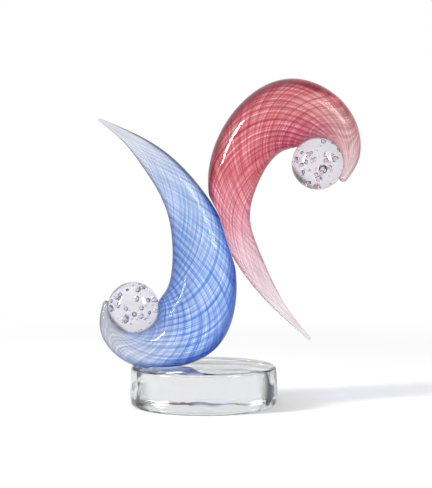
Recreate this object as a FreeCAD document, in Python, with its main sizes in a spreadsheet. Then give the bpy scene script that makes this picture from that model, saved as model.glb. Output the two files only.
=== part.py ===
import FreeCAD, Part
import math
import os

import Sketcher
from FreeCAD import Placement, Rotation, Vector

# Two glass waves on a clear glass disc. Each wave is one tapering body that swells from a thin
# tail to a round shoulder and then winds in round a glass ball. The blue wave stands on the
# disc, the red one is held high against its side, and clear films bond them at ground flats.
# X runs to the right, Z up, and the front is -Y. The origin is the centre of the underside.

os.makedirs("parts", exist_ok=True)

doc = FreeCAD.newDocument("glass_waves")
sheet = doc.addObject("Spreadsheet::Sheet", "sizes")

SIZES = {
    # Clear disc: its side bulges a little between two rounded rims
    "base_radius": 68.0,
    "base_height": 36.0,
    "base_bulge": 0.9,
    "base_rim_round": 3.0,
    # Clear adhesive, and how deep the glass is ground away for it
    "film": 0.3,
    "foot_grind": 3.5,
    "blue_joint_grind": 2.3,
    "red_joint_grind": 4.8,
    "joint_lean_angle": 17.6,
    "grind_reach": 160.0,
    "ball_film_radius": 8.0,
    # Blue wave: half-sizes of the glass, then the arcs of its spine from the crest to the tail
    "blue_shoulder": 33.6,
    "blue_lip": 2.8,
    "blue_lip_depth": 11.0,
    "blue_crest_start_angle": -20.6,
    "blue_crest_sweep_angle": 168.0,
    "blue_hip_bend": 69.4,
    "blue_hip_sweep_angle": 37.5,
    "blue_back_bend": 142.3,
    "blue_back_sweep_angle": 38.9,
    "blue_tail_bend": 191.9,
    "blue_tail_sweep_angle": 26.5,
    "blue_ball_radius": 23.7,
    "blue_ball_nest": 0.9,
    "blue_ball_offset": 64.6,
    # Red wave, in the same order, and how far its ground flat is up the joint past the blue one
    "red_shoulder": 31.1,
    "red_lip": 4.0,
    "red_lip_depth": 11.0,
    "red_crest_start_angle": 113.4,
    "red_crest_sweep_angle": 142.0,
    "red_hip_bend": 60.6,
    "red_hip_sweep_angle": 45.3,
    "red_back_bend": 92.0,
    "red_back_sweep_angle": 59.8,
    "red_tail_bend": 267.6,
    "red_tail_sweep_angle": 24.4,
    "red_ball_radius": 23.9,
    "red_ball_nest": 1.1,
    "joint_slip": 25.74,
}
for row, (alias, value) in enumerate(SIZES.items(), start=1):
    sheet.set("A%d" % row, str(value))
    sheet.setAlias("A%d" % row, alias)
doc.recompute()

# Half-widths at even steps from the tail's tip to the shoulder, of the shoulder's half-width
BACK_WIDTH_SHARES = {
    "blue": (0.08, 0.19, 0.355, 0.48, 0.61, 0.76, 0.875, 0.98, 1.0),
    "red": (0.06, 0.14, 0.28, 0.395, 0.495, 0.71, 0.84, 0.945, 1.0),
}
# The crest's sections: how much of its sweep round the ball lies before each, and how much
# of the taper from the shoulder to the lip lies after it
CREST_TURN_SHARES = (0.0, 0.15, 0.32, 0.51, 0.73, 1.0)
CREST_TAPER_SHARES = {
    "blue": (1.0, 0.71, 0.49, 0.31, 0.145, 0.0),
    "red": (1.0, 0.79, 0.55, 0.33, 0.145, 0.0),
}
# Sections of a rounded end, past the last one: how much of a quarter turn has gone at each
END_TURN_SHARES = (0.35, 0.65, 0.88)
# The glass is a little deeper, front to back, than it is wide in the picture plane
DEPTH_SHARE = 1.04
TINY = 1e-4
QUARTER_TURN = 90.0


def size(alias):
    """The value of one driving dimension."""
    return sheet.get(alias)


def place_on_xz(feature, origin, body):
    """Attach a feature to its body's XZ plane with the given offset placement."""
    plane = [f for f in body.Origin.OriginFeatures if f.Role == "XZ_Plane"][0]
    feature.AttachmentSupport = [(plane, "")]
    feature.MapMode = "FlatFace"
    feature.AttachmentOffset = origin


def crest_stations(wave):
    """Centre and heading of the crest's sections, shoulder first, about the ball's centre.

    The inner edge of every section lies on one circle round the ball, a little inside it,
    and the half-width shrinks with the turn, so the spine winds in towards the ball.
    """
    inner = size(wave + "_ball_radius") - size(wave + "_ball_nest")
    sweep = math.radians(size(wave + "_crest_sweep_angle"))
    taper = size(wave + "_shoulder") - size(wave + "_lip")
    shares = CREST_TAPER_SHARES[wave]
    last = len(shares) - 1
    stations = []
    for number, share in enumerate(shares):
        width = size(wave + "_lip") + taper * share
        before, after = max(number - 1, 0), min(number + 1, last)
        turned = sweep * (CREST_TURN_SHARES[after] - CREST_TURN_SHARES[before])
        thinned = taper * (shares[before] - shares[after])
        pinch = math.atan(thinned / turned / (inner + width))
        off_axis = width * math.sin(pinch)
        reach = width * math.cos(pinch) + math.sqrt(inner ** 2 - off_axis ** 2)
        turn = math.radians(size(wave + "_crest_start_angle")) - sweep * CREST_TURN_SHARES[number]
        centre = Vector(reach * math.cos(turn), reach * math.sin(turn), 0)
        stations.append((centre, turn - math.pi / 2 - pinch))
    return stations


def back_stations(wave, shoulder, steps):
    """Centre and heading of the back's sections, from the tail's tip up to the shoulder.

    The spine is three arcs tangent to each other, laid backwards from the shoulder.
    """
    arcs = [
        (size("%s_bend" % arc), math.radians(size("%s_sweep_angle" % arc)))
        for arc in (wave + "_hip", wave + "_back", wave + "_tail")
    ]
    length = sum(bend * sweep for bend, sweep in arcs)
    stations = []
    for step in range(steps, 0, -1):
        left = length * step / steps
        centre, heading = shoulder
        for bend, sweep in arcs:
            turn = min(left / bend, sweep)
            centre = centre + Vector(math.sin(heading), -math.cos(heading), 0) * bend
            heading += turn
            centre = centre - Vector(math.sin(heading), -math.cos(heading), 0) * bend
            left -= turn * bend
        stations.append((centre, heading))
    return stations


def add_section(body, name, station, width, depth):
    """One elliptical section square to the spine, its half-sizes bound to the sheet."""
    centre, heading = station
    across = Vector(-math.sin(heading), math.cos(heading), 0)
    deep = Vector(0, 0, 1)
    sketch = body.newObject("Sketcher::SketchObject", name)
    turn = Rotation(deep, across, deep.cross(across), "XYZ")
    place_on_xz(sketch, Placement(centre, turn), body)
    half_depth = float(sketch.evalExpression(depth))
    half_width = float(sketch.evalExpression(width))
    outline = Part.Ellipse(Vector(half_depth, 0, 0), Vector(0, half_width, 0), Vector())
    sketch.addGeometry(outline)
    sketch.exposeInternalGeometry(0)
    sketch.addConstraint(Sketcher.Constraint("Coincident", 0, 3, -1, 1))
    sketch.addConstraint(Sketcher.Constraint("Horizontal", 1))
    for axis, (side, half) in enumerate((("depth", depth), ("width", width)), start=1):
        index = sketch.addConstraint(Sketcher.Constraint("Distance", axis, half_depth))
        sketch.renameConstraint(index, side)
        sketch.setExpression("Constraints." + side, "2 * (%s)" % half)
    return sketch


def add_round_end(body, name, last, station, outward):
    """Close an end of the glass past its last section with a half round as long as it is wide."""
    centre, heading = station
    along = Vector(math.cos(heading), math.sin(heading), 0) * outward
    reach = last.getDatum("width").Value / 2
    sections = []
    for number, share in enumerate(END_TURN_SHARES):
        turn = math.radians(QUARTER_TURN * share)
        place = (centre + along * (reach * math.sin(turn)), heading)
        width, depth = (
            "%s.Constraints.%s * %.9f / 2" % (last.Name, side, math.cos(turn))
            for side in ("width", "depth")
        )
        sections.append(add_section(body, "%s_%d" % (name, number), place, width, depth))
    doc.recompute()
    loft = body.newObject("PartDesign::AdditiveLoft", name)
    loft.Profile = last
    loft.Sections = [(section, [""]) for section in sections]
    doc.recompute()


def add_wave(wave):
    """The lofted glass body of one wave, about its ball's centre, with the ball's seat cut."""
    body = doc.addObject("PartDesign::Body", wave + "_wave")
    body.Label = wave + "_wave"
    shoulder = "sizes.%s_shoulder" % wave
    lip = "sizes.%s_lip" % wave
    shares = BACK_WIDTH_SHARES[wave]
    crest = crest_stations(wave)
    back = back_stations(wave, crest[0], len(shares) - 1)
    sections = []
    for number, (station, share) in enumerate(zip(back + crest[:1], shares)):
        width = "%s * %g" % (shoulder, share)
        depth = "%s * %g" % (width, DEPTH_SHARE)
        sections.append(add_section(body, "%s_back_%d" % (wave, number), station, width, depth))
    for number in range(1, len(crest)):
        taper = CREST_TAPER_SHARES[wave][number]
        left = 1 - CREST_TURN_SHARES[number]
        width = "%s + (%s - %s) * %g" % (lip, shoulder, lip, taper)
        depth = "%s_depth + (%s * %g - %s_depth) * %g" % (lip, shoulder, DEPTH_SHARE, lip, left)
        name = "%s_crest_%d" % (wave, number)
        sections.append(add_section(body, name, crest[number], width, depth))
    doc.recompute()

    loft = body.newObject("PartDesign::AdditiveLoft", wave + "_glass")
    loft.Profile = sections[0]
    loft.Sections = [(section, [""]) for section in sections[1:]]
    doc.recompute()

    add_round_end(body, wave + "_tail_end", sections[0], back[0], -1)
    add_round_end(body, wave + "_lip_end", sections[-1], crest[-1], 1)

    seat = body.newObject("PartDesign::SubtractiveSphere", wave + "_ball_seat")
    mouth = Rotation(Vector(0, 0, 1), size(wave + "_crest_start_angle") + QUARTER_TURN)
    place_on_xz(seat, Placement(Vector(), mouth), body)
    seat.setExpression("Radius", "sizes.%s_ball_radius + sizes.film" % wave)
    doc.recompute()
    return body


def reach_along(body, direction):
    """How far a body reaches from its own origin along a direction."""
    shape = body.Tip.Shape.copy()
    shape.rotate(Vector(0, 0, 0), *turn_to_z(direction))
    return shape.optimalBoundingBox(False).ZMax


def turn_to_z(direction):
    """Axis and angle in degrees of the turn that lays a direction in the XZ plane on Z."""
    return Vector(0, 1, 0), -math.degrees(math.atan2(direction.x, direction.z))


def grind_flat(body, name, direction, depth_at):
    """Cut a body flat, square to a direction, at a distance along it from its own origin."""
    cut = body.newObject("PartDesign::SubtractiveBox", name)
    for side in ("Length", "Width", "Height"):
        cut.setExpression(side, "sizes.grind_reach")
    half = size("grind_reach") / 2
    outward = Vector(direction.x, direction.z, 0)
    along = Vector(-outward.y, outward.x, 0)
    corner = outward * depth_at - along * half - Vector(0, 0, half)
    turn = Rotation(outward, along, Vector(0, 0, 1), "XYZ")
    place_on_xz(cut, Placement(corner, turn), body)
    doc.recompute()


def flat_face(body, direction, distance):
    """The ground face of a placed body, square to a direction at a distance from the origin."""
    for face in body.Shape.Faces:
        if not isinstance(face.Surface, Part.Plane):
            continue
        askew = face.normalAt(0, 0).cross(direction).Length
        away = face.CenterOfMass.dot(direction) - distance
        if askew < TINY and abs(away) < TINY:
            return face
    raise RuntimeError("no ground face on " + body.Label)


def add_shape(label, shape):
    """A sub-part whose solid is built from its neighbours' faces."""
    piece = doc.addObject("Part::Feature", label)
    piece.Label = label
    piece.Shape = shape
    piece.Placement = Placement()
    return piece


def add_ball(wave, centre):
    """A glass ball in the curl of its wave."""
    ball = doc.addObject("Part::Sphere", wave + "_ball")
    ball.Label = wave + "_ball"
    ball.setExpression("Radius", "sizes.%s_ball_radius" % wave)
    ball.Placement = Placement(centre, Rotation())
    return ball


def add_ball_film(wave, centre, toward):
    """Clear adhesive between a ball and its seat, a round patch where the wave carries it."""
    ball = size(wave + "_ball_radius")
    reach = ball + size("film")
    patch = Part.makeCylinder(size("ball_film_radius"), reach, centre, toward)
    film = patch.common(Part.makeSphere(reach, centre))
    return add_shape(wave + "_ball_bond", film.cut(Part.makeSphere(ball, centre)))


def add_base():
    """The clear disc: a revolved profile with a bulging side and two rounded rims."""
    body = doc.addObject("PartDesign::Body", "base")
    body.Label = "base"
    sketch = body.newObject("Sketcher::SketchObject", "base_profile")
    place_on_xz(sketch, Placement(), body)
    radius = size("base_radius")
    height = size("base_height")
    edge = radius - size("base_bulge")
    corners = [
        Vector(0, 0, 0), Vector(edge, 0, 0), Vector(edge, height, 0), Vector(0, height, 0),
    ]
    side = Part.Arc(corners[1], Vector(radius, height / 2, 0), corners[2])
    sketch.addGeometry(Part.LineSegment(corners[0], corners[1]))
    sketch.addGeometry(side)
    sketch.addGeometry(Part.LineSegment(corners[2], corners[3]))
    sketch.addGeometry(Part.LineSegment(corners[3], corners[0]))
    start, end = 1, 2
    constrain = sketch.addConstraint
    constrain(Sketcher.Constraint("Coincident", 0, start, -1, 1))
    constrain(Sketcher.Constraint("Coincident", 0, end, 1, start))
    constrain(Sketcher.Constraint("Coincident", 1, end, 2, start))
    constrain(Sketcher.Constraint("Coincident", 2, end, 3, start))
    constrain(Sketcher.Constraint("Coincident", 3, end, 0, start))
    constrain(Sketcher.Constraint("Horizontal", 0))
    constrain(Sketcher.Constraint("Horizontal", 2))
    constrain(Sketcher.Constraint("Vertical", 3))
    constrain(Sketcher.Constraint("Equal", 0, 2))
    width = constrain(Sketcher.Constraint("DistanceX", 0, start, 0, end, edge))
    sketch.setExpression("Constraints[%d]" % width, "sizes.base_radius - sizes.base_bulge")
    tall = constrain(Sketcher.Constraint("DistanceY", 3, end, 3, start, height))
    sketch.setExpression("Constraints[%d]" % tall, "sizes.base_height")
    bend = constrain(Sketcher.Constraint("Radius", 1, radius))
    sketch.setExpression(
        "Constraints[%d]" % bend,
        "(sizes.base_bulge ^ 2 + (sizes.base_height / 2) ^ 2) / (2 * sizes.base_bulge)",
    )
    disc = body.newObject("PartDesign::Revolution", "base_disc")
    disc.Profile = sketch
    disc.ReferenceAxis = (sketch, ["V_Axis"])
    doc.recompute()
    rims = []
    for number, edge_shape in enumerate(disc.Shape.Edges, start=1):
        box = edge_shape.BoundBox
        if isinstance(edge_shape.Curve, Part.Circle) and box.ZLength < size("film"):
            rims.append("Edge%d" % number)
    rim_round = body.newObject("PartDesign::Fillet", "base_rims")
    rim_round.Base = (disc, rims)
    rim_round.setExpression("Radius", "sizes.base_rim_round")
    doc.recompute()
    return body


base = add_base()
blue_wave = add_wave("blue")
red_wave = add_wave("red")

# The blue wave's belly is ground flat and lies on the disc's top over a film
down = Vector(0, 0, -1)
foot = reach_along(blue_wave, down) - size("foot_grind")
grind_flat(blue_wave, "blue_foot", down, foot)
blue_centre = Vector(-size("blue_ball_offset"), 0, size("base_height") + size("film") + foot)

# The two waves meet side to side on leaning flats, with a film between them
lean = math.radians(size("joint_lean_angle"))
joint = Vector(math.cos(lean), 0, math.sin(lean))
upward = Vector(-joint.z, 0, joint.x)
blue_side = reach_along(blue_wave, joint) - size("blue_joint_grind")
red_side = reach_along(red_wave, -joint) - size("red_joint_grind")
grind_flat(blue_wave, "blue_joint", joint, blue_side)
grind_flat(red_wave, "red_joint", -joint, red_side)
blue_flat = flat_face(blue_wave, joint, blue_side).CenterOfMass.dot(upward)
red_flat = flat_face(red_wave, -joint, red_side).CenterOfMass.dot(upward)
aside = blue_side + size("film") + red_side
rise = blue_flat - red_flat + size("joint_slip")
red_centre = blue_centre + joint * aside + upward * rise
blue_wave.Placement = Placement(blue_centre, Rotation())
red_wave.Placement = Placement(red_centre, Rotation())
doc.recompute()

blue_ball = add_ball("blue", blue_centre)
red_ball = add_ball("red", red_centre)
blue_ball_bond = add_ball_film("blue", blue_centre, down)
red_ball_bond = add_ball_film("red", red_centre, -down)

top = size("base_height")
foot_face = flat_face(blue_wave, -down, top + size("film"))
base_bond = add_shape("base_bond", foot_face.extrude(down * size("film")))

joint_at = blue_centre.dot(joint) + blue_side
blue_face = flat_face(blue_wave, joint, joint_at)
red_face = flat_face(red_wave, joint, joint_at + size("film"))
shared = blue_face.extrude(joint * size("film")).common(red_face.extrude(-joint * size("film")))
wave_bond = add_shape("wave_bond", shared)
doc.recompute()

for item in doc.Objects:
    if "Invalid" in item.State or "Error" in item.State:
        raise RuntimeError("%s failed: %s" % (item.Label, item.State))

PIECES = (
    base, base_bond, blue_wave, blue_ball, blue_ball_bond,
    wave_bond, red_wave, red_ball, red_ball_bond,
)
for piece in PIECES:
    shape = piece.Shape
    if shape.isNull() or not shape.isValid() or shape.Volume <= 0:
        raise RuntimeError(piece.Label + " has no valid solid")
    shape.exportStep("parts/%s.step" % piece.Label)
    box = shape.optimalBoundingBox(False)
    print(
        "%-14s %d solid %9.0f mm3  X %6.1f %6.1f  Y %6.1f %6.1f  Z %6.1f %6.1f"
        % (piece.Label, len(shape.Solids), shape.Volume,
           box.XMin, box.XMax, box.YMin, box.YMax, box.ZMin, box.ZMax)
    )
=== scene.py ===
import math

import bmesh
import bpy
import numpy as np
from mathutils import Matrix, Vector


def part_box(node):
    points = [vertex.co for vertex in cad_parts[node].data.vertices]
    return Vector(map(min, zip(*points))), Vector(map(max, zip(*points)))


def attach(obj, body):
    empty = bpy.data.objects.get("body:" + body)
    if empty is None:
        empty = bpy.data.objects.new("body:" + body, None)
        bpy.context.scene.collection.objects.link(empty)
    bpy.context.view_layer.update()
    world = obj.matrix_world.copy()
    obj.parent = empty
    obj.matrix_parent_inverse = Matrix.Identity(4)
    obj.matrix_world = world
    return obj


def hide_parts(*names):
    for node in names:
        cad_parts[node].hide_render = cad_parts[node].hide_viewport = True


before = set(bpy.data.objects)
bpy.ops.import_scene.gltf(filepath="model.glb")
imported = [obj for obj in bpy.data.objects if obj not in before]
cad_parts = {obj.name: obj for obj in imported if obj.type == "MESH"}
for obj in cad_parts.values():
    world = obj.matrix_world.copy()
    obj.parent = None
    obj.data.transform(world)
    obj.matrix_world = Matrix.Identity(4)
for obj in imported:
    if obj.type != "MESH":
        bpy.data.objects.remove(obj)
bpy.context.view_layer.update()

# ---- The clear disc ----
# A thick round of cast clear glass that everything stands on. Its side bulges a little, both
# rims are fire-polished round, and slow ripples swell it. Where its side turns edge on to the
# eye it carries painted shade in dark grey streaky patches, and its side is tinted greyer than
# its top, partly as the glass's tint and partly as painted shade.
DISC_RIM = 0.0030
DISC_BULGE = 0.0009
DISC_RIPPLE = 0.00022
DISC_SWELLS = ((3, 1.0, 0.7), (7, 0.6, 2.0), (11, 0.4, 0.0))  # waves round, share, phase
MOST_SWELL = 0.5
INNERMOST = 0.12  # the first ring on a flat, as a share of the flat's radius
RIM_POINTS, SIDE_POINTS, FLAT_POINTS = 9, 21, 8
DISC_AROUND = 192
DISC_SHARP = math.radians(50)

# The side's grey tint, partly the glass's own and partly painted shade, and the top's tint,
# painted lighter than the side.
DISC_SIDE_TINT_AND_SHADE = (0.72, 0.725, 0.73)
DISC_TOP = (0.99, 0.99, 1.0)
# The colour of the painted shade in the dark edge patches.
DISC_SHADE = (0.004, 0.007, 0.010)
STREAK_SCALE = (24.0, 70.0, 50.0)
STREAK_PLACE = (7.1, 5.2, 2.3)
STREAK_CURL = 1.2
DISC_POLISH_SCALE = 60
DISC_WAVINESS = (22, 0.0004)  # the scale of a ripple's noise, and its depth

# A step is (start, end), with the levels before and after it where they aren't 0 and 1.
STREAK_STEP = (0.42, 0.55, 0.1, 1.0)
ON_SIDE_STEP = (0.2, 0.9, 1.0, 0.0)
# Where the painted shade comes in, by how far the side turns edge on to the eye.
DISC_EDGE_STEP = (0.30, 0.52)
NOISE_SPAN = (0.35, 0.65)  # nearly all of a noise's values lie in it
POLISHED = (0.0, 0.02)  # the roughness of polished glass, from place to place


def pole_faces(rings, around, flip=False):
    """Faces of a closed skin of rings. Point 0 is the first pole, then come the rings in order,
    and the last point is the other pole. Neighbouring rings are joined by quads, each end ring
    to its pole by a fan. Returns the faces, and (share round, share along) for each corner."""
    column = np.arange(around)
    after = (column + 1) % around
    row = np.arange(rings - 1)[:, None]
    low = 1 + row * around
    quads = np.stack([low + column, low + after, low + around + after, low + around + column], -1)
    end = 1 + (rings - 1) * around
    first = np.stack([np.zeros_like(column), 1 + after, 1 + column], -1)
    last = np.stack([np.full_like(column, end + around), end + column, end + after], -1)
    quads = quads.reshape(-1, 4)
    side = np.broadcast_to(column, (rings - 1, around)).ravel()
    level = np.repeat(np.arange(rings - 1), around)
    turns = np.concatenate([
        np.stack([side, side + 1, side + 1, side], -1).ravel(),
        np.stack([column + 0.5, column + 1, column], -1).ravel(),
        np.stack([column + 0.5, column, column + 1], -1).ravel(),
    ]) / around
    levels = np.concatenate([
        np.stack([level, level, level + 1, level + 1], -1).ravel(),
        np.zeros(3 * around),
        np.full(3 * around, rings - 1),
    ]) / (rings - 1)
    faces = quads.tolist() + first.tolist() + last.tolist()
    if flip:
        faces = [face[::-1] for face in faces]
    return faces, np.stack([turns, levels], -1)


def add_mesh(name, points, faces, corners=None):
    """An object of smooth faces at the origin, with a map named "skin" where the corners' places
    round and along it are given."""
    mesh = bpy.data.meshes.new(name)
    mesh.from_pydata(points.tolist(), [], faces)
    if corners is not None:
        skin = mesh.uv_layers.new(name="skin")
        skin.data.foreach_set("uv", corners.astype(np.float32).ravel())
    mesh.shade_smooth()
    piece = bpy.data.objects.new(name, mesh)
    bpy.context.scene.collection.objects.link(piece)
    return piece


def add_skin(name, rings, first, last):
    """A closed piece from an array of rings (ring, point, xyz) and its two pole points. Its map
    runs once round and once along."""
    faces, corners = pole_faces(*rings.shape[:2])
    points = np.concatenate([[first], rings.reshape(-1, 3), [last]])
    return add_mesh(name, points, faces, corners)


def disc_rings(low, high, around):
    """The disc's skin: a profile of half-width against height, turned round. The profile runs
    out along the underside, round the lower rim on a quarter circle, up the side on a shallow
    bulge, round the upper rim and in along the top. A sum of slow sine waves round the disc
    swells the side, most at half its height."""
    height = high.z - low.z
    edge = high.x - DISC_BULGE
    inner = edge - DISC_RIM
    turn = np.linspace(0, math.pi / 2, RIM_POINTS)
    rise = np.linspace(0, 1, SIDE_POINTS)[1:-1]
    flat = np.linspace(INNERMOST, 1, FLAT_POINTS)[:-1]
    side = edge + DISC_BULGE * (1 - (2 * rise - 1) ** 2)
    tall = DISC_RIM + (height - 2 * DISC_RIM) * rise
    reach = np.concatenate([
        inner * flat, inner + DISC_RIM * np.sin(turn), side,
        inner + DISC_RIM * np.cos(turn), inner * flat[::-1],
    ])
    level = np.concatenate([
        0 * flat, DISC_RIM * (1 - np.cos(turn)), tall,
        height - DISC_RIM * (1 - np.sin(turn)), 0 * flat + height,
    ])
    angle = np.linspace(0, 2 * math.pi, around, endpoint=False)
    swell = sum(share * np.sin(waves * angle + phase) for waves, share, phase in DISC_SWELLS)
    up_share = level / height
    bend = (up_share * (1 - up_share) * 4)[:, None] * swell
    spread = reach[:, None] + DISC_RIPPLE * np.minimum(bend, MOST_SWELL)
    points = np.stack([
        spread * np.cos(angle), spread * np.sin(angle),
        np.broadcast_to(level[:, None], spread.shape),
    ], -1)
    return points + np.array([0, 0, low.z])


def math_node(tree, operation, first, second=None, third=None):
    """A Math node's result. Each input is a number or another node's output."""
    node = tree.nodes.new("ShaderNodeMath")
    node.operation = operation
    for socket, value in zip(node.inputs, (first, second, third)):
        if isinstance(value, bpy.types.NodeSocket):
            tree.links.new(value, socket)
        elif value is not None:
            socket.default_value = value
    return node.outputs["Value"]


def product(tree, first, *others):
    """The product of other nodes' outputs and numbers."""
    for value in others:
        first = math_node(tree, "MULTIPLY", first, value)
    return first


def step_node(tree, value, start, end, low=0.0, high=1.0, way="SMOOTHSTEP"):
    """A value's step from a low to a high level as it goes from a start to an end: soft at both
    ends, or even for the way LINEAR."""
    step = tree.nodes.new("ShaderNodeMapRange")
    step.interpolation_type = way
    step.inputs["From Min"].default_value = start
    step.inputs["From Max"].default_value = end
    step.inputs["To Min"].default_value = low
    step.inputs["To Max"].default_value = high
    tree.links.new(value, step.inputs["Value"])
    return step.outputs["Result"]


def mix_node(tree, share, first, second, way="MIX"):
    """A first colour, taken by a share to a second, or for the way MULTIPLY to the product of
    both. Each colour is fixed or another node's output."""
    mix = tree.nodes.new("ShaderNodeMix")
    mix.data_type = "RGBA"
    mix.blend_type = way
    tree.links.new(share, mix.inputs["Factor"])
    for socket, colour in zip(mix.inputs[6:8], (first, second)):
        if isinstance(colour, bpy.types.NodeSocket):
            tree.links.new(colour, socket)
        else:
            socket.default_value = (*colour, 1.0)
    return mix.outputs[2]


def noise_node(tree, place, scale=1.0, detail=2.0, curl=0.0):
    """Noise, read at another node's place."""
    noise = tree.nodes.new("ShaderNodeTexNoise")
    noise.inputs["Scale"].default_value = scale
    noise.inputs["Detail"].default_value = detail
    noise.inputs["Distortion"].default_value = curl
    tree.links.new(place, noise.inputs["Vector"])
    return noise.outputs["Fac"]


def facing_node(tree):
    """How far a surface turns away from the eye: 0 where it faces it, 1 where it is edge on."""
    weight = tree.nodes.new("ShaderNodeLayerWeight")
    weight.inputs["Blend"].default_value = 0.5
    return weight.outputs["Facing"]


def split_node(tree, vector):
    """The X, Y and Z outputs of another node's vector."""
    parts = tree.nodes.new("ShaderNodeSeparateXYZ")
    tree.links.new(vector, parts.inputs["Vector"])
    return parts.outputs


def noise_into(tree, socket, scale, low, high, detail=3.0):
    """Noise in Object coordinates, spread between a low and a high value, into a socket."""
    place = tree.nodes.new("ShaderNodeTexCoord").outputs["Object"]
    noise = noise_node(tree, place, scale, detail)
    tree.links.new(step_node(tree, noise, *NOISE_SPAN, low, high, "LINEAR"), socket)


def ripple_into(tree, shader, scale, depth):
    """A faint swell of the surface, as hot glass keeps, by a bump from large soft noise."""
    bump = tree.nodes.new("ShaderNodeBump")
    bump.inputs["Strength"].default_value = 1.0
    bump.inputs["Distance"].default_value = depth
    noise_into(tree, bump.inputs["Height"], scale, 0.0, 1.0, detail=1.0)
    tree.links.new(bump.outputs["Normal"], shader.inputs["Normal"])


def glass_nodes(name, ior=1.5):
    """A clear glass material, its node tree and its shader."""
    material = bpy.data.materials.new(name)
    material.use_nodes = True
    tree = material.node_tree
    shader = tree.nodes["Principled BSDF"]
    shader.inputs["Transmission Weight"].default_value = 1.0
    shader.inputs["IOR"].default_value = ior
    return material, tree, shader


disc_low, disc_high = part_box("base")
disc = add_skin(
    "clear_disc", disc_rings(disc_low, disc_high, DISC_AROUND),
    (0, 0, disc_low.z), (0, 0, disc_high.z),
)
disc.data.set_sharp_from_angle(angle=DISC_SHARP)

disc_glass, tree, shader = glass_nodes("disc_glass")
stretched = tree.nodes.new("ShaderNodeMapping")
stretched.inputs["Location"].default_value = STREAK_PLACE
stretched.inputs["Scale"].default_value = STREAK_SCALE
place = tree.nodes.new("ShaderNodeTexCoord").outputs["Object"]
tree.links.new(place, stretched.inputs["Vector"])
streaks = noise_node(tree, stretched.outputs["Vector"], curl=STREAK_CURL)
normal = tree.nodes.new("ShaderNodeNewGeometry").outputs["Normal"]
on_side = step_node(tree, split_node(tree, normal)["Z"], *ON_SIDE_STEP, "LINEAR")
# Painted shade: dark grey patches where the side turns edge on to the eye, broken up by the
# streaky noise.
shade = product(
    tree, step_node(tree, facing_node(tree), *DISC_EDGE_STEP), on_side,
    step_node(tree, streaks, *STREAK_STEP, "LINEAR"),
)
# The top is painted lighter than the side, the side greyer as partly painted shade.
clear = mix_node(tree, on_side, DISC_TOP, DISC_SIDE_TINT_AND_SHADE)
tree.links.new(mix_node(tree, shade, clear, DISC_SHADE), shader.inputs["Base Color"])
noise_into(tree, shader.inputs["Roughness"], DISC_POLISH_SCALE, *POLISHED)
ripple_into(tree, shader, *DISC_WAVINESS)
disc.data.materials.append(disc_glass)
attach(disc, "root")
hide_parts("base")

# ---- The bonds ----
# Water-clear adhesive, a few tenths of a millimetre thick, cured between the ground flats and
# in the seat under each ball. Specks of trapped air make it a little cloudy in places.
BOND_COLOUR = (0.93, 0.94, 0.96, 1.0)
BOND_ROUGHNESS = 0.25
BOND_CLOUD = (0.04, 0.16)  # its alpha, from place to place
BOND_CLOUD_SCALE = 900

bond_clear, tree, shader = glass_nodes("bond_clear")
shader.inputs["Transmission Weight"].default_value = 0.0
shader.inputs["Base Color"].default_value = BOND_COLOUR
shader.inputs["Roughness"].default_value = BOND_ROUGHNESS
noise_into(tree, shader.inputs["Alpha"], BOND_CLOUD_SCALE, *BOND_CLOUD)
for node in ("base_bond", "wave_bond", "blue_ball_bond", "red_ball_bond"):
    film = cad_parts[node]
    film.data.materials.clear()
    film.data.materials.append(bond_clear)

# ---- The blue wave ----
# One gather of solid clear glass over blue threads, twisted while hot and drawn out to a thin
# tail, then curled round the ball. It is cold-ground flat under its belly and at the joint.

# A wave's sizes are in metres and its angles in degrees, and each arc of its back is (radius,
# sweep). The back shares are half-widths as shares of the shoulder's, from the tip on. The taper
# shares are what is left of the way from the lip's half-width to the shoulder's, at the crest's
# turns, which are shares of its sweep.
BLUE = {
    "shoulder": 0.0336,
    "lip": 0.0028,
    "lip_depth": 0.0110,
    "crest_start": -20.6,
    "crest_sweep": 168.0,
    "nest": 0.0009,
    "arcs": ((0.0694, 37.5), (0.1423, 38.9), (0.1919, 26.5)),
    "tip": 0.0027,
    "back_shares": (0.045, 0.18, 0.355, 0.48, 0.61, 0.76, 0.875, 0.98, 1.0),
    "taper_shares": (1.0, 0.71, 0.49, 0.31, 0.145, 0.0),
}
CREST_TURNS = (0.0, 0.15, 0.32, 0.51, 0.73, 1.0)
END_TURNS = (15, 30, 45, 58, 70, 81)
DEPTH_SHARE = 1.04
SEAT_GAP = 0.0003
LEAST_HALF = 0.2  # the least share of a half-width that an inset leaves
NEAR_ZERO = 1e-6
GLASS_ROWS, GLASS_AROUND = 260, 120
GLASS_SHARP = math.radians(25)
JOINT_LEAN = math.radians(17.6)
ON_BOTH = 2e-6  # a point of a cut this near to both its planes lies where they meet


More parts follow.
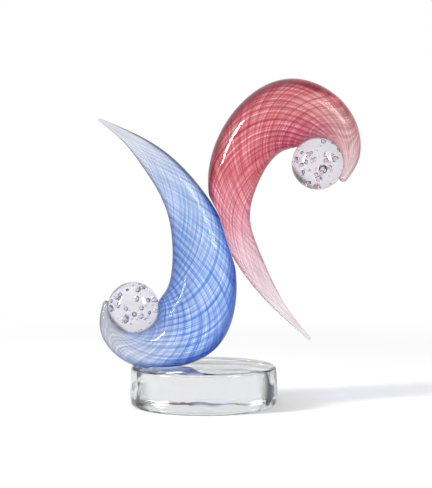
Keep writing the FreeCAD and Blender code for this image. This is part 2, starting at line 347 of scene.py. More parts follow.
def wave_stations(wave, inner):
    """Rows of (x, z, heading, half-width, half-depth) from the tail's tip to the lip, about the
    ball's centre. The back is three tangent arcs laid backwards from the shoulder. Round the
    ball the inner edge stays on one circle while the half-width shrinks with the turn."""
    shoulder, lip = wave["shoulder"], wave["lip"]
    sweep = math.radians(wave["crest_sweep"])
    turns, shares = np.array(CREST_TURNS), np.array(wave["taper_shares"])
    wide = lip + (shoulder - lip) * shares
    before = np.maximum(np.arange(len(shares)) - 1, 0)
    after = np.minimum(np.arange(len(shares)) + 1, len(shares) - 1)
    thinned = (wide[before] - wide[after]) / (sweep * (turns[after] - turns[before]))
    pinch = np.arctan(thinned / (inner + wide))
    reach = wide * np.cos(pinch) + np.sqrt(inner ** 2 - (wide * np.sin(pinch)) ** 2)
    turn = math.radians(wave["crest_start"]) - sweep * turns
    deep = wave["lip_depth"] + (shoulder * DEPTH_SHARE - wave["lip_depth"]) * (1 - turns)
    heading = turn - math.pi / 2 - pinch
    crest = np.stack([reach * np.cos(turn), reach * np.sin(turn), heading, wide, deep], -1)

    bends = np.array([bend for bend, _ in wave["arcs"]])
    sweeps = np.radians([sweep for _, sweep in wave["arcs"]])
    steps = len(wave["back_shares"]) - 1
    left = np.sum(bends * sweeps) * np.linspace(1, 0, steps, endpoint=False)
    x, z, heading = np.full((3, steps), crest[0, :3, None])
    for bend, most in zip(bends, sweeps):
        turned = np.clip(left / bend, 0, most)
        x, z = x + np.sin(heading) * bend, z - np.cos(heading) * bend
        heading = heading + turned
        x, z = x - np.sin(heading) * bend, z + np.cos(heading) * bend
        left = left - turned * bend
    wide = shoulder * np.array(wave["back_shares"][:-1])
    back = np.stack([x, z, heading, wide, wide * DEPTH_SHARE], -1)
    return np.concatenate([back, crest])


def smooth_through(knots, values, at):
    """A curve of cubic pieces through the values, one per knot, whose slope and curvature run
    on from piece to piece, read at the given places. Its curvature is nil at both ends."""
    gap = np.diff(knots)
    count = len(knots)
    system = np.eye(count)
    pull = np.zeros_like(values)
    inner = np.arange(1, count - 1)
    system[inner, inner - 1] = gap[:-1]
    system[inner, inner] = 2 * (gap[:-1] + gap[1:])
    system[inner, inner + 1] = gap[1:]
    slope = np.diff(values, axis=0) / gap[:, None]
    pull[1:-1] = 6 * np.diff(slope, axis=0)
    bend = np.linalg.solve(system, pull)
    piece = np.clip(np.searchsorted(knots, at, side="right") - 1, 0, count - 2)
    width = gap[piece][:, None]
    right = ((at - knots[piece])[:, None]) / width
    left = 1 - right
    curved = (left ** 3 - left) * bend[piece] + (right ** 3 - right) * bend[piece + 1]
    return left * values[piece] + right * values[piece + 1] + curved * width ** 2 / 6


def wave_spine(wave, ball_radius, rows):
    """The stations of a wave made dense and smooth: (x, z, heading, half-width, half-depth) at
    even steps of the spine's length."""
    stations = wave_stations(wave, ball_radius - wave["nest"])
    steps = np.hypot(*np.diff(stations[:, :2], axis=0).T)
    knots = np.concatenate([[0], np.cumsum(steps)])
    return smooth_through(knots, stations, np.linspace(0, knots[-1], rows))


def ring_points(spine, angle, inset):
    """Points round each row of a spine: the row's centre, plus its half-width times the cosine
    along the line square to the heading, plus its half-depth times the sine towards the back.
    Both halves are first taken in by the inset."""
    x, z, heading, wide, deep = (spine[:, k, None] for k in range(5))
    wide, deep = (np.maximum(half - inset, LEAST_HALF * half) for half in (wide, deep))
    across = wide * np.cos(angle)
    return np.stack([
        x - np.sin(heading) * across, deep * np.sin(angle), z + np.cos(heading) * across,
    ], -1)


def round_off(spine, outward, length):
    """Rows that close an end: past the end row the centre moves on by the length times the sine
    of a quarter turn while both halves shrink with its cosine. Also the end's own pole."""
    end = spine[-1] if outward > 0 else spine[0]
    turn = np.radians(END_TURNS)[:, None]
    ahead = np.array([math.cos(end[2]), math.sin(end[2])]) * outward * length
    rows = np.repeat(end[None], len(turn), 0)
    rows[:, :2] += np.sin(turn) * ahead
    rows[:, 3:] *= np.cos(turn)
    pole = end[:2] + ahead
    return (rows if outward > 0 else rows[::-1]), np.array([pole[0], 0, pole[1]])


def clear_of_ball(points, reach):
    """Points nearer to the ball's centre than a reach are pushed straight out to it."""
    away = np.linalg.norm(points, axis=-1, keepdims=True)
    return points * np.maximum(1, reach / np.maximum(away, NEAR_ZERO))


def heights(place, planes):
    """How far a place lies beyond each plane, which is a point and its outward side."""
    return [(place - Vector(point)).dot(Vector(outward)) for point, outward in planes]


def grind(ground, planes):
    """What lies beyond all of the planes is cut away and the cut closed off. Where there are two
    planes, the edge in which they meet is put in before."""
    for point, outward in planes:
        whole = ground.verts[:] + ground.edges[:] + ground.faces[:]
        bmesh.ops.bisect_plane(ground, geom=whole, plane_co=point, plane_no=outward)
    waste = [face for face in ground.faces if min(heights(face.calc_center_median(), planes)) > 0]
    bmesh.ops.delete(ground, geom=waste, context="FACES")
    rim = [edge for edge in ground.edges if edge.is_boundary]
    if len(planes) > 1:
        rim.append(ground.edges.new([
            vert for vert in ground.verts
            if vert.is_boundary and max(heights(vert.co, planes)) < ON_BOTH
        ]))
    bmesh.ops.edgenet_fill(ground, edges=rim)


def add_wave_glass(name, wave, centre, ball_radius, cuts):
    """The glass of a wave: its rings and rounded ends, seated round the ball, moved to the
    ball's centre, and ground by each cut, which is a list of one plane or two."""
    spine = wave_spine(wave, ball_radius, GLASS_ROWS)
    tail, tail_pole = round_off(spine, -1, wave["tip"])
    lip, lip_pole = round_off(spine, 1, wave["lip"])
    spine = np.concatenate([tail, spine, lip])
    angle = np.linspace(0, 2 * math.pi, GLASS_AROUND, endpoint=False)
    rings = clear_of_ball(ring_points(spine, angle, 0), ball_radius + SEAT_GAP) + centre
    glass = add_skin(name, rings, tail_pole + centre, lip_pole + centre)
    ground = bmesh.new()
    ground.from_mesh(glass.data)
    for planes in cuts:
        grind(ground, planes)
    bmesh.ops.recalc_face_normals(ground, faces=ground.faces)
    ground.to_mesh(glass.data)
    ground.free()
    glass.data.set_sharp_from_angle(angle=GLASS_SHARP)
    return glass


THREADS = 31
THREAD_RADIUS = 0.00030
THREAD_DEPTH = 0.0013
THREAD_ROWS, THREAD_AROUND = 230, 6
THREADS_FROM, THREADS_TO = 0.12, 0.965
LANE_DRIFT = 0.16  # how far a thread may lie from its lane, in lanes
THICKNESSES = (0.55, 1.35)
END_FADE = 0.6  # a power: the lower, the sooner a thread is at its full radius


def add_threads(name, wave, centre, ball_radius, cuts, twist, seed):
    """Threads inside a wave, an even step apart round it, give or take a little. Each follows the
    glass just under its surface and turns round the spine by the twist (in turns) from tail to
    lip. It is a thin tube whose radius follows the root of the wave's half-width and dies away at
    both ends, and it stays under the ground flats and the ball's seat."""
    draw = np.random.default_rng(seed)
    spine = wave_spine(wave, ball_radius, THREAD_ROWS)
    share = np.linspace(0, 1, len(spine))
    keep = (share >= THREADS_FROM) & (share <= THREADS_TO)
    spine, share = spine[keep], share[keep]
    lane = np.arange(THREADS) + draw.uniform(-LANE_DRIFT, LANE_DRIFT, THREADS)
    angle = 2 * math.pi * (lane[:, None] / THREADS + twist * share)
    path = np.stack([
        ring_points(spine, lane_angle[:, None], THREAD_DEPTH)[:, 0] for lane_angle in angle
    ])
    path = clear_of_ball(path, ball_radius + SEAT_GAP + THREAD_DEPTH) + centre
    for planes in cuts:
        over = np.stack([(path - np.array(point)) @ np.array(out) for point, out in planes])
        nearest = np.array([out for _, out in planes])[over.argmin(0)]
        path -= np.maximum(over.min(0) + THREAD_DEPTH, 0)[..., None] * nearest
    ahead = np.gradient(path, axis=1)
    ahead /= np.linalg.norm(ahead, axis=-1, keepdims=True)
    middle = np.stack([spine[:, 0], 0 * share, spine[:, 1]], -1) + centre
    out = path - middle
    out -= np.sum(out * ahead, -1, keepdims=True) * ahead
    out /= np.linalg.norm(out, axis=-1, keepdims=True)
    side = np.cross(ahead, out)
    along = (share - THREADS_FROM) / (THREADS_TO - THREADS_FROM)
    fade = np.sin(math.pi * np.clip(along, 0, 1)) ** END_FADE
    thick = THREAD_RADIUS * (spine[:, 3] / wave["shoulder"]) ** 0.5 * fade
    thick = thick * draw.uniform(*THICKNESSES, THREADS)[:, None]
    turn = np.linspace(0, 2 * math.pi, THREAD_AROUND, endpoint=False)
    wheel = (
        np.cos(turn)[:, None] * out[..., None, :] + np.sin(turn)[:, None] * side[..., None, :]
    )
    rings = path[:, :, None] + wheel * thick[..., None, None]
    faces, corners = pole_faces(len(share), len(turn))
    points = np.concatenate([path[:, :1], rings.reshape(THREADS, -1, 3), path[:, -1:]], 1)
    each = points.shape[1]
    lots = [[[v + k * each for v in face] for face in faces] for k in range(THREADS)]
    corners = corners * (1, share[-1] - share[0]) + (0, share[0])
    return add_mesh(name, points.reshape(-1, 3), sum(lots, []), np.tile(corners, (THREADS, 1)))


def ramp_node(tree, share, stops):
    """The colour at a share of a wave's length, blended between stops of (share, colour)."""
    ramp = tree.nodes.new("ShaderNodeValToRGB")
    bar = ramp.color_ramp
    while len(bar.elements) < len(stops):
        bar.elements.new(0.5)
    for element, (place, colour) in zip(bar.elements, stops):
        element.position = place
        element.color = (*colour, 1.0)
    tree.links.new(share, ramp.inputs["Fac"])
    return ramp.outputs["Color"]


def skin_place(tree):
    """The share round a wave and the share along it, from its map."""
    skin = tree.nodes.new("ShaderNodeUVMap")
    skin.uv_map = "skin"
    parts = split_node(tree, skin.outputs["UV"])
    return parts["X"], parts["Y"]


def streak_noise(tree, turn, along, around_scale, along_scale):
    """Noise drawn out along the threads: it is read on a tube whose circle is the turn round
    less the twist, and whose length is the share along."""
    place = tree.nodes.new("ShaderNodeCombineXYZ")
    for axis, way in (("X", "COSINE"), ("Y", "SINE")):
        spot = product(tree, math_node(tree, way, turn), around_scale)
        tree.links.new(spot, place.inputs[axis])
    tree.links.new(product(tree, along, along_scale), place.inputs["Z"])
    return noise_node(tree, place.outputs["Vector"])


STREAKS, STRANDS = (5.0, 5.0), (30.0, 10.0)  # scales round a wave and along it
BAND_PHASE, BORDER_PHASE, PALE_PHASE = 1.1, 2.2, -0.88
CORE_SHARE = 0.60
# The colour of the painted grey shade on the clear tail's edge.
TAIL_EDGE_SHADE = (0.09, 0.09, 0.11)
EDGE_POLISH = 0.1
COAT_ROUGHNESS = 0.02
WAVE_POLISH_SCALE = 45
WAVE_WAVINESS = (30, 0.00005)

# Steps along a wave, by the share of its length from the tail.
POLISH_COMES = (0.05, 0.35, 0.25, 1.0)
POLISH_IN_CURL = (0.66, 0.73, 0.0, 0.5)
COLOUR_COMES, COLOUR_GOES = (0.18, 0.42, 0.12, 1.0), (0.74, 0.92, 1.0, 0.2)
CURL_SHADE_GOES = (0.80, 0.92, 1.0, 0.0)
TAIL_EDGE_COMES, TAIL_EDGE_GOES = (0.04, 0.12, 0.3, 1.0), (0.26, 0.46, 1.0, 0.0)
# Steps round a wave, by the cosine: 1 on the outside of the bend, -1 on the inside.
POLISH_ROUND = (-0.45, 0.0, 0.08, 1.0)
RIM_ROUND = (-0.6, 0.6, 0.35, 1.0)
CURL_SHADE_ROUND = (0.1, -0.6, 0.0, 1.0)
TAIL_EDGE_ROUND = (-0.4, 0.4, 0.4, 1.0)
# Steps across a band, by its own cosine, and in the streaks' and strands' noise.
BAND_STEP, PALE_STEP, CORE_STEP = (-0.3, 0.7), (0.80, 1.0), (0.86, 1.0)
UNEVEN_STEP = (*NOISE_SPAN, 0.1, 1.3)
PALE_UNEVEN_STEP = (0.40, 0.62, 0.9, 0.05)
STRAND_COLOUR_STEP = (*NOISE_SPAN, 1.20, 0.86)
# Steps by how far the glass turns away from the eye.
POLISH_FACING, RIM_FACING = (0.45, 0.80), (0.20, 0.50)
TAIL_EDGE_FACING, OUTLINE_FACING = (0.30, 0.55), (0.40, 0.80)


def wave_glass(name, look, twist):
    """Coloured glass that is clear towards both ends. Bands of colour follow the threads over
    the clear glass, by the cosine of the turn round less the twist, with a thin pale line beside
    each and fine strands over all, and streaky noise makes them uneven. Seen from inside, through
    the glass, only the far share of them is left. Where the glass turns away from the eye, and
    more so on the outside of the bend, painted shade takes its colour towards the rim's, which
    also darkens thin lines at the bands' borders; the outline gets painted shade, and the clear
    tail a thin painted grey shade at its edge. On the inside of the curl by the ball, painted
    shade in stripes along the bands takes it towards a darker colour. Its gloss is on the outer
    skin only, and weaker on the tail and under the bend."""
    material, tree, shader = glass_nodes(name, look["ior"])
    facing = facing_node(tree)
    inside = tree.nodes.new("ShaderNodeNewGeometry").outputs["Backfacing"]
    around, along = skin_place(tree)
    outside = math_node(tree, "COSINE", product(tree, around, 2 * math.pi))
    turn = product(tree, math_node(tree, "MULTIPLY_ADD", along, -twist, around), 2 * math.pi)
    streaks = streak_noise(tree, turn, along, *STREAKS)
    strands = streak_noise(tree, turn, along, *STRANDS)
    middle, border, beside = (
        math_node(tree, "COSINE", math_node(tree, "MULTIPLY_ADD", turn, THREADS, phase))
        for phase in (BAND_PHASE, BORDER_PHASE, PALE_PHASE)
    )

    band = product(tree, step_node(tree, middle, *BAND_STEP), look["band_share"])
    far = math_node(tree, "MULTIPLY_ADD", inside, look["far_share"] - 1, 1.0)
    uneven = product(tree, step_node(tree, streaks, *UNEVEN_STEP), far)
    clear, banded = (ramp_node(tree, along, look[kind]) for kind in ("clear", "bands"))
    colour = mix_node(tree, product(tree, band, uneven), clear, banded)
    pale_line = product(
        tree, step_node(tree, beside, *PALE_STEP), far,
        step_node(tree, streaks, *PALE_UNEVEN_STEP),
    )
    colour = mix_node(tree, pale_line, colour, look["pale"])

    fine = tree.nodes.new("ShaderNodeHueSaturation")
    brighter = step_node(tree, strands, *NOISE_SPAN, *look["strand_levels"])
    tree.links.new(brighter, fine.inputs["Value"])
    tree.links.new(step_node(tree, strands, *STRAND_COLOUR_STEP), fine.inputs["Saturation"])
    tree.links.new(colour, fine.inputs["Color"])

    # Painted shade inside the curl by the ball, in stripes along the bands.
    curl_shade_mask = product(
        tree, step_node(tree, outside, *CURL_SHADE_ROUND),
        step_node(tree, along, *look["curl_shade_begins"]), step_node(tree, along, *CURL_SHADE_GOES),
        math_node(tree, "MULTIPLY_ADD", band, *look["curl_shade_levels"]),
    )
    colour = mix_node(tree, curl_shade_mask, fine.outputs["Color"], look["painted_curl_shade"])
    coloured = product(
        tree, step_node(tree, along, *COLOUR_COMES), step_node(tree, along, *COLOUR_GOES)
    )
    # Painted edge shade where the glass turns edge on, more on the outside of the bend, and dark
    # lines at the bands' borders, both in the rim's colour.
    rims = product(
        tree, step_node(tree, facing, *RIM_FACING), step_node(tree, outside, *RIM_ROUND), coloured
    )
    cores = product(tree, step_node(tree, border, *CORE_STEP), uneven, coloured, CORE_SHARE)
    rim_shade_and_lines = math_node(tree, "MAXIMUM", rims, cores)
    colour = mix_node(tree, rim_shade_and_lines, colour, look["rim"], "MULTIPLY")
    # Painted shade along the wave's silhouette, where it turns edge on.
    outline = step_node(tree, facing, *OUTLINE_FACING)
    colour = mix_node(tree, outline, colour, look["outline"], "MULTIPLY")
    # Painted grey shade along the clear tail's edge, where it turns edge on.
    tail_edge_shade = product(
        tree, step_node(tree, facing, *TAIL_EDGE_FACING, 0.0, look["tail_edge_shade"]),
        step_node(tree, outside, *TAIL_EDGE_ROUND),
        step_node(tree, along, *TAIL_EDGE_COMES), step_node(tree, along, *TAIL_EDGE_GOES),
    )
    colour = mix_node(tree, tail_edge_shade, colour, TAIL_EDGE_SHADE, "MULTIPLY")
    tree.links.new(colour, shader.inputs["Base Color"])

    under_bend = math_node(
        tree, "MAXIMUM",
        step_node(tree, outside, *POLISH_ROUND), step_node(tree, along, *POLISH_IN_CURL),
    )
    polish = product(
        tree, math_node(tree, "SUBTRACT", 1.0, inside),
        step_node(tree, facing, *POLISH_FACING, look["polish"], EDGE_POLISH),
        step_node(tree, along, *POLISH_COMES), under_bend,
    )
    tree.links.new(polish, shader.inputs["Coat Weight"])
    shader.inputs["Coat Roughness"].default_value = COAT_ROUGHNESS
    noise_into(tree, shader.inputs["Roughness"], WAVE_POLISH_SCALE, *POLISHED)
    ripple_into(tree, shader, *WAVE_WAVINESS)
    return material


THREADS_THIN = (0.70, 0.86)
THIN_SHARE = 0.3
THREAD_TONES = (0.8, 1.2)
THREAD_TONE_SCALE = 35


def thread_glass(name, alpha, stops):
    """The threads' own coloured glass, which doesn't bend the light, because clear glass is all
    round it. It lets a share of the light by untinted, and more of it at the lip. Its colour
    pales towards both ends of the wave, and slow noise along the threads makes them lighter and
    darker."""
    material, tree, shader = glass_nodes(name, 1.0)
    shader.inputs["Roughness"].default_value = 0.0
    _, along = skin_place(tree)
    thinner = step_node(tree, along, *THREADS_THIN, alpha, THIN_SHARE * alpha)
    tree.links.new(thinner, shader.inputs["Alpha"])
    tone = tree.nodes.new("ShaderNodeHueSaturation")
    tree.links.new(ramp_node(tree, along, stops), tone.inputs["Color"])
    noise_into(tree, tone.inputs["Value"], THREAD_TONE_SCALE, *THREAD_TONES)
    tree.links.new(tone.outputs["Color"], shader.inputs["Base Color"])
    return material


def box_middle(node):
    """The middle of a CAD node's box, and half its width."""
    low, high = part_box(node)
    return np.array((low + high) / 2), (high.x - low.x) / 2


BLUE_TWIST = -1.15
BLUE_LOOK = {
    "ior": 1.14,
    "clear": (
        (0.0, (0.76, 0.77, 0.80)), (0.12, (0.72, 0.75, 0.82)), (0.25, (0.64, 0.72, 0.91)),
        (0.40, (0.54, 0.67, 0.90)), (0.52, (0.48, 0.63, 0.95)), (0.68, (0.46, 0.60, 0.92)),
        (0.80, (0.58, 0.64, 0.80)), (0.88, (0.61, 0.63, 0.69)), (1.0, (0.53, 0.53, 0.57)),
    ),
    "bands": (
        (0.0, (0.70, 0.71, 0.76)), (0.12, (0.62, 0.66, 0.78)), (0.25, (0.44, 0.56, 0.86)),
        (0.40, (0.24, 0.41, 0.83)), (0.52, (0.16, 0.35, 0.88)), (0.68, (0.13, 0.30, 0.84)),
        (0.80, (0.34, 0.43, 0.70)), (0.88, (0.46, 0.48, 0.58)), (1.0, (0.43, 0.43, 0.48)),
    ),
    "pale": (0.93, 0.96, 1.0),
    # The painted edge shade's colour, also that of the dark lines at the bands' borders.
    "rim": (0.13, 0.27, 0.64),
    # Painted shade inside the curl by the ball: its colour, its levels across a band, and where
    # it begins.
    "painted_curl_shade": (0.17, 0.29, 0.60),
    "curl_shade_levels": (0.55, 0.45),
    "curl_shade_begins": (0.28, 0.50),
    # The colour of the painted shade along the silhouette.
    "outline": (0.14, 0.18, 0.34),
    # How strong the painted grey shade on the tail's edge is.
    "tail_edge_shade": 0.9,
    "polish": 0.42,
    "far_share": 0.8,
    "band_share": 1.0,
    "strand_levels": (0.80, 1.14),
}
BLUE_THREADS = (
    (0.0, (0.55, 0.58, 0.68)), (0.22, (0.34, 0.46, 0.86)), (0.40, (0.10, 0.32, 0.96)),
    (0.70, (0.09, 0.30, 0.94)), (0.84, (0.34, 0.42, 0.68)), (1.0, (0.50, 0.51, 0.58)),
)
BLUE_THREAD_ALPHA = 0.55

joint = np.array([math.cos(JOINT_LEAN), 0, math.sin(JOINT_LEAN)])
bond_points = np.array([vertex.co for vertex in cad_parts["wave_bond"].data.vertices])
joint_near, joint_far = (bond_points @ joint).min(), (bond_points @ joint).max()
foot_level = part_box("base_bond")[1].z
blue_centre, blue_ball_radius = box_middle("blue_ball")
blue_cuts = [[((0, 0, foot_level), (0, 0, -1))], [(joint * joint_near, joint)]]

blue_wave = add_wave_glass("blue_wave_glass", BLUE, blue_centre, blue_ball_radius, blue_cuts)
blue_wave.data.materials.append(wave_glass("blue_glass", BLUE_LOOK, BLUE_TWIST))
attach(blue_wave, "root")
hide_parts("blue_wave")

blue_threads = add_threads(
    "blue_wave_threads", BLUE, blue_centre, blue_ball_radius, blue_cuts, BLUE_TWIST, seed=5
)
blue_threads.data.materials.append(
    thread_glass("blue_thread_glass", BLUE_THREAD_ALPHA, BLUE_THREADS)
)
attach(blue_threads, "root")

# ---- The blue wave's ball ----
# A marble of nearly clear glass, faintly lilac, with air bubbles stirred into it while it was
# hot. It sits in the curl on a patch of adhesive. Its outline is painted dark as shade.
BALL_TINT = (0.75, 0.73, 0.79)
# The colour of the painted shade round the ball's outline.
BALL_EDGE_SHADE = (0.12, 0.12, 0.15)
BALL_EDGE_STEP = (0.6, 1.0)
BALL_POLISH_SCALE = 120
BALL_RINGS, BUBBLE_RINGS = (62, 96), (11, 18)
BUBBLES = 64
BUBBLE_LEAST, BUBBLE_SPREAD = 0.0005, 0.0018
BUBBLE_SMALLER = 1.8  # the power of an even draw: the higher, the rarer the large ones
BUBBLE_SKIN = 0.0015
BUBBLE_APART = 0.0004


def sphere_points(rings, around):
    """A round skin of radius one between its two poles: rings at even steps of the angle from
    the lower pole."""
    tilt = np.linspace(0, math.pi, rings + 2)[1:-1, None]
    angle = np.linspace(0, 2 * math.pi, around, endpoint=False)
    points = np.stack([
        np.sin(tilt) * np.cos(angle), np.sin(tilt) * np.sin(angle),
        np.broadcast_to(-np.cos(tilt), (rings, around)),
    ], -1)
    return np.concatenate([[(0, 0, -1)], points.reshape(-1, 3), [(0, 0, 1)]])


def scatter_bubbles(seed, radius):
    """Places and sizes of bubbles in a ball: tried at random from a fixed seed, kept where they
    are clear of each other and of the skin. Small ones are far more common than large ones."""
    draw = np.random.default_rng(seed)
    places, sizes = [], []
    while len(places) < BUBBLES:
        size = BUBBLE_LEAST + BUBBLE_SPREAD * draw.random() ** BUBBLE_SMALLER
        place = draw.uniform(-radius, radius, 3)
        clear = np.linalg.norm(place) + size < radius - BUBBLE_SKIN
        apart = all(
            np.linalg.norm(place - other) > size + near + BUBBLE_APART
            for other, near in zip(places, sizes)
        )
        if clear and apart:
            places.append(place)
            sizes.append(size)
    return np.array(places), np.array(sizes)


def add_ball(name, centre, radius, seed):
    """A ball of glass with bubbles, as one mesh: an outer sphere, and for each bubble a small
    sphere that faces inwards, because the glass ends there."""
    faces, _ = pole_faces(*BALL_RINGS)
    hollow, _ = pole_faces(*BUBBLE_RINGS, flip=True)
    shell, bubble = sphere_points(*BALL_RINGS) * radius, sphere_points(*BUBBLE_RINGS)
    places, sizes = scatter_bubbles(seed, radius)
    bubbles = bubble * sizes[:, None, None] + places[:, None]
    lots = [
        [[v + len(shell) + k * len(bubble) for v in face] for face in hollow]
        for k in range(len(places))
    ]
    points = np.concatenate([shell, bubbles.reshape(-1, 3)]) + centre
    return add_mesh(name, points, faces + sum(lots, []))


ball_glass, tree, shader = glass_nodes("ball_glass")
# Painted dark shade where the ball turns edge on to the eye.
edge = step_node(tree, facing_node(tree), *BALL_EDGE_STEP)
tree.links.new(mix_node(tree, edge, BALL_TINT, BALL_EDGE_SHADE), shader.inputs["Base Color"])
noise_into(tree, shader.inputs["Roughness"], BALL_POLISH_SCALE, *POLISHED)

blue_ball = add_ball("blue_wave_ball", blue_centre, blue_ball_radius, seed=11)
blue_ball.data.materials.append(ball_glass)
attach(blue_ball, "root")
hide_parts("blue_ball")

# ---- The red wave ----
# The other wave, upside down: crimson threads in the same solid glass, its shoulder up and its
# tail hanging free. One flat is ground on it for the bond high on the blue wave's side. From the
# bend level up, a second one leans further over and takes it close along the blue's flank.
RED = {
    "shoulder": 0.0311,
    "lip": 0.0040,
    "lip_depth": 0.0110,
    "crest_start": 113.4,
    "crest_sweep": 142.0,
    "nest": 0.0011,
    "arcs": ((0.0606, 45.3), (0.0920, 59.8), (0.2676, 24.4)),
    "tip": 0.0019,
    "back_shares": (0.05, 0.14, 0.28, 0.395, 0.495, 0.71, 0.84, 0.945, 1.0),
    "taper_shares": (1.0, 0.79, 0.55, 0.33, 0.145, 0.0),
}
BEND_LEVEL = 0.1765
FLANK_LEAN = math.radians(28.2)
RED_TWIST = -0.95
RED_LOOK = {
    "ior": 1.22,
    "clear": (
        (0.0, (0.84, 0.79, 0.80)), (0.15, (0.91, 0.80, 0.84)), (0.28, (0.93, 0.69, 0.77)),
        (0.38, (0.87, 0.40, 0.48)), (0.50, (0.73, 0.20, 0.23)), (0.60, (0.74, 0.22, 0.25)),
        (0.75, (0.68, 0.23, 0.25)), (0.88, (0.72, 0.44, 0.45)), (1.0, (0.78, 0.69, 0.70)),
    ),
    "bands": (
        (0.0, (0.78, 0.71, 0.73)), (0.15, (0.86, 0.69, 0.75)), (0.28, (0.84, 0.47, 0.58)),
        (0.38, (0.68, 0.17, 0.24)), (0.50, (0.51, 0.06, 0.09)), (0.60, (0.54, 0.07, 0.10)),
        (0.75, (0.53, 0.12, 0.13)), (0.88, (0.59, 0.31, 0.32)), (1.0, (0.70, 0.57, 0.58)),
    ),
    "pale": (1.0, 0.86, 0.80),
    # The painted edge shade's colour, also that of the dark lines at the bands' borders.
    "rim": (0.27, 0.05, 0.13),
    # Painted shade inside the curl by the ball: its colour, its levels across a band, and where
    # it begins.
    "painted_curl_shade": (0.40, 0.01, 0.12),
    "curl_shade_levels": (1.15, 0.15),
    "curl_shade_begins": (0.52, 0.68),
    # The colour of the painted shade along the silhouette.
    "outline": (0.55, 0.11, 0.17),
    # How strong the painted grey shade on the tail's edge is.
    "tail_edge_shade": 0.6,
    "polish": 0.24,
    "far_share": 0.3,
    "band_share": 0.6,
    "strand_levels": (0.68, 1.24),
}
RED_THREADS = (
    (0.0, (0.74, 0.58, 0.62)), (0.22, (0.76, 0.34, 0.44)), (0.40, (0.74, 0.06, 0.15)),
    (0.75, (0.70, 0.06, 0.12)), (0.88, (0.62, 0.24, 0.27)), (1.0, (0.64, 0.44, 0.46)),
)
RED_THREAD_ALPHA = 0.40

red_centre, red_ball_radius = box_middle("red_ball")
bend = np.array([(joint_far - BEND_LEVEL * joint[2]) / joint[0], 0, BEND_LEVEL])
flank = np.array([math.cos(FLANK_LEAN), 0, math.sin(FLANK_LEAN)])
red_cuts = [[(joint * joint_far, -joint), (bend, -flank)]]

red_wave = add_wave_glass("red_wave_glass", RED, red_centre, red_ball_radius, red_cuts)
red_wave.data.materials.append(wave_glass("red_glass", RED_LOOK, RED_TWIST))
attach(red_wave, "root")
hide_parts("red_wave")

red_threads = add_threads(
    "red_wave_threads", RED, red_centre, red_ball_radius, red_cuts, RED_TWIST, seed=7
)
red_threads.data.materials.append(
    thread_glass("red_thread_glass", RED_THREAD_ALPHA, RED_THREADS)
)
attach(red_threads, "root")

# ---- The red wave's ball ----
# The same bubbled marble, held under the upper curl by its own patch of adhesive.
red_ball = add_ball("red_wave_ball", red_centre, red_ball_radius, seed=23)
red_ball.data.materials.append(ball_glass)
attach(red_ball, "root")
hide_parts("red_ball")

# ---- The table and the room ----
# A plain white table top that runs on as far as the eye goes, in a white room that is darker to
# the right, as in a studio, so that the glass has edges.
TABLE_HALF = 6
TABLE_DROP = 0.0002
TABLE_COLOUR = (0.80, 0.80, 0.80, 1.0)
# Steps by how far from the disc's middle the table is seen: with the eye, and through glass.
SEEN_WHITE = (0.20, 0.8, 0.06, 1.0)
SEEN_THROUGH_WHITE = (0.20, 0.6)
WHITE = (1, 1, 1, 1)
DARK_SIDE = Vector((0.72, 0.12, 0.68)).normalized()
DARK_STEP = (0.65, 0.9, 1.0, 0.05)  # by the cosine from that side

mesh = bpy.data.meshes.new("table_top")
mesh.from_pydata(
    [
        (x * TABLE_HALF, y * TABLE_HALF, disc_low.z - TABLE_DROP)
        for x, y in ((-1, -1), (1, -1), (1, 1), (-1, 1))
    ],
    [], [(0, 1, 2, 3)],
)
table_top = bpy.data.objects.new("table_top", mesh)
bpy.context.scene.collection.objects.link(table_top)
table_white = bpy.data.materials.new("table_white")
table_white.use_nodes = True
tree = table_white.node_tree
tree.nodes.remove(tree.nodes["Principled BSDF"])
matt = tree.nodes.new("ShaderNodeBsdfDiffuse")
matt.inputs["Color"].default_value = TABLE_COLOUR
glow = tree.nodes.new("ShaderNodeEmission")
rays = tree.nodes.new("ShaderNodeLightPath")
far = tree.nodes.new("ShaderNodeVectorMath")
far.operation = "LENGTH"
tree.links.new(tree.nodes.new("ShaderNodeTexCoord").outputs["Object"], far.inputs[0])
seen = product(
    tree, rays.outputs["Is Camera Ray"], step_node(tree, far.outputs["Value"], *SEEN_WHITE)
)
seen_through = product(
    tree, rays.outputs["Is Transmission Ray"],
    step_node(tree, far.outputs["Value"], *SEEN_THROUGH_WHITE),
)
both = tree.nodes.new("ShaderNodeMixShader")
tree.links.new(math_node(tree, "MAXIMUM", seen, seen_through), both.inputs["Fac"])
tree.links.new(matt.outputs["BSDF"], both.inputs[1])
tree.links.new(glow.outputs["Emission"], both.inputs[2])
tree.links.new(both.outputs["Shader"], tree.nodes["Material Output"].inputs["Surface"])
table_top.data.materials.append(table_white)

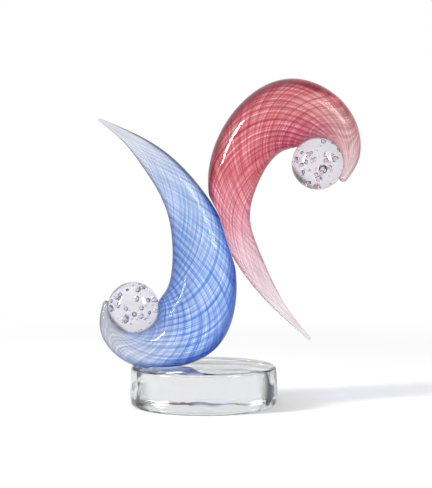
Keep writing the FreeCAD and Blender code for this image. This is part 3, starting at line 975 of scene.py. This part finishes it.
room = bpy.data.worlds.new("room")
bpy.context.scene.world = room
room.use_nodes = True
tree = room.node_tree
light = tree.nodes["Background"]
light.inputs["Color"].default_value = WHITE
white = tree.nodes.new("ShaderNodeBackground")
white.inputs["Color"].default_value = WHITE
white.inputs["Strength"].default_value = 1.0
dark = tree.nodes.new("ShaderNodeVectorMath")
dark.operation = "DOT_PRODUCT"
dark.inputs[1].default_value = DARK_SIDE
tree.links.new(tree.nodes.new("ShaderNodeTexCoord").outputs["Generated"], dark.inputs[0])
tree.links.new(step_node(tree, dark.outputs["Value"], *DARK_STEP), light.inputs["Strength"])
rays = tree.nodes.new("ShaderNodeLightPath")
both = tree.nodes.new("ShaderNodeMixShader")
tree.links.new(rays.outputs["Is Camera Ray"], both.inputs["Fac"])
tree.links.new(light.outputs["Background"], both.inputs[1])
tree.links.new(white.outputs["Background"], both.inputs[2])
tree.links.new(both.outputs["Shader"], tree.nodes["World Output"].inputs["Surface"])

# ---- The lamps ----
# Two tall soft boxes in front, one to each side. The left one is the stronger and throws the
# disc's shadow along the table to the right.
AIM = Vector((0.02, 0.0, 0.15))
for name, place, width, height, power in (
    ("left_box", (-0.96, -0.42, 0.62), 0.20, 0.60, 17.0),
    ("right_box", (0.80, -0.52, 0.74), 0.36, 0.60, 6.0),
):
    lamp = bpy.data.lights.new(name, "AREA")
    lamp.shape = "RECTANGLE"
    lamp.size = width
    lamp.size_y = height
    lamp.energy = power
    stand = bpy.data.objects.new(name, lamp)
    stand.location = place
    stand.rotation_euler = (AIM - Vector(place)).to_track_quat("-Z", "Y").to_euler()
    bpy.context.scene.collection.objects.link(stand)

# ---- The camera ----
# A long lens at the height of the waves' middle, looking down a little.
LENS, SENSOR = 120.7, 36.0
CAMERA_PLACE = (0.0115, -1.5, 0.2376)
LOOKING_DOWN = math.radians(3.41)
camera = bpy.data.objects.new("camera", bpy.data.cameras.new("camera"))
camera.data.lens = LENS
camera.data.sensor_width = SENSOR
camera.location = CAMERA_PLACE
camera.rotation_euler = (math.pi / 2 - LOOKING_DOWN, 0, 0)
bpy.context.scene.collection.objects.link(camera)
bpy.context.scene.camera = camera
bpy.context.scene.view_settings.view_transform = "Standard"
